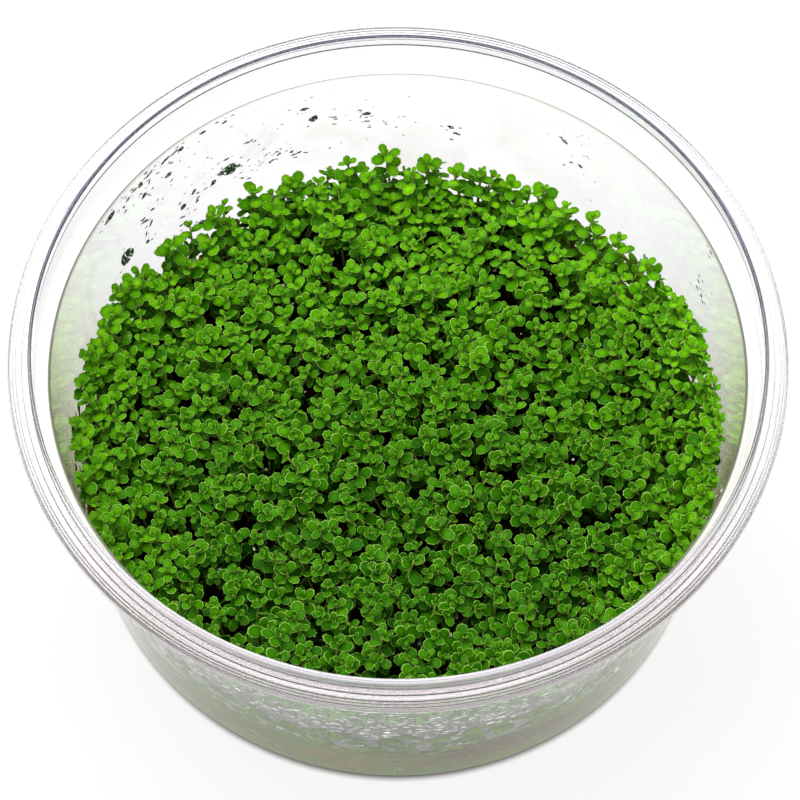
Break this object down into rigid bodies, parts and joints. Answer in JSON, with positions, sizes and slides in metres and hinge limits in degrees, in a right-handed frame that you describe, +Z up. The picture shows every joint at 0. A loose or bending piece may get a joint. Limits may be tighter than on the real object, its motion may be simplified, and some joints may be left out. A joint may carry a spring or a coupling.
{
  "type": "dwarf baby tears in a tissue culture cup",
  "caption": "Dense carpet of tiny round-leaved aquarium plants on a layer of pale gel, in a clear open round plastic cup with a lid flange.",
  "frame": {"origin": "centre of the cup's underside, on the surface it stands on", "axes": "+Z up along the cup's axis, -Y towards the picture's near side"},
  "size_m": [0.101, 0.101, 0.0463],
  "materials": {
    "clear_plastic": "smooth clear moulded plastic",
    "growing_gel": "soft translucent gel, pale greenish, with old roots and leaf bits in it",
    "leaves": "living leaf, yellow-green with a pale edge, slightly glossy"
  },
  "bodies": {
    "root": {"cup": "clear_plastic", "gel": "growing_gel", "carpet": "leaves", "sprig_01": "leaves", "sprig_02": "leaves", "sprig_03": "leaves", "sprig_04": "leaves", "sprig_05": "leaves", "sprig_06": "leaves", "sprig_07": "leaves", "sprig_08": "leaves", "sprig_09": "leaves", "sprig_10": "leaves", "sprig_11": "leaves", "sprig_12": "leaves", "sprig_13": "leaves", "sprig_14": "leaves", "sprig_15": "leaves", "sprig_16": "leaves", "sprig_17": "leaves", "sprig_18": "leaves", "sprig_19": "leaves", "sprig_20": "leaves", "sprig_21": "leaves", "sprig_22": "leaves", "sprig_23": "leaves", "sprig_24": "leaves"}
  },
  "joints": []
}
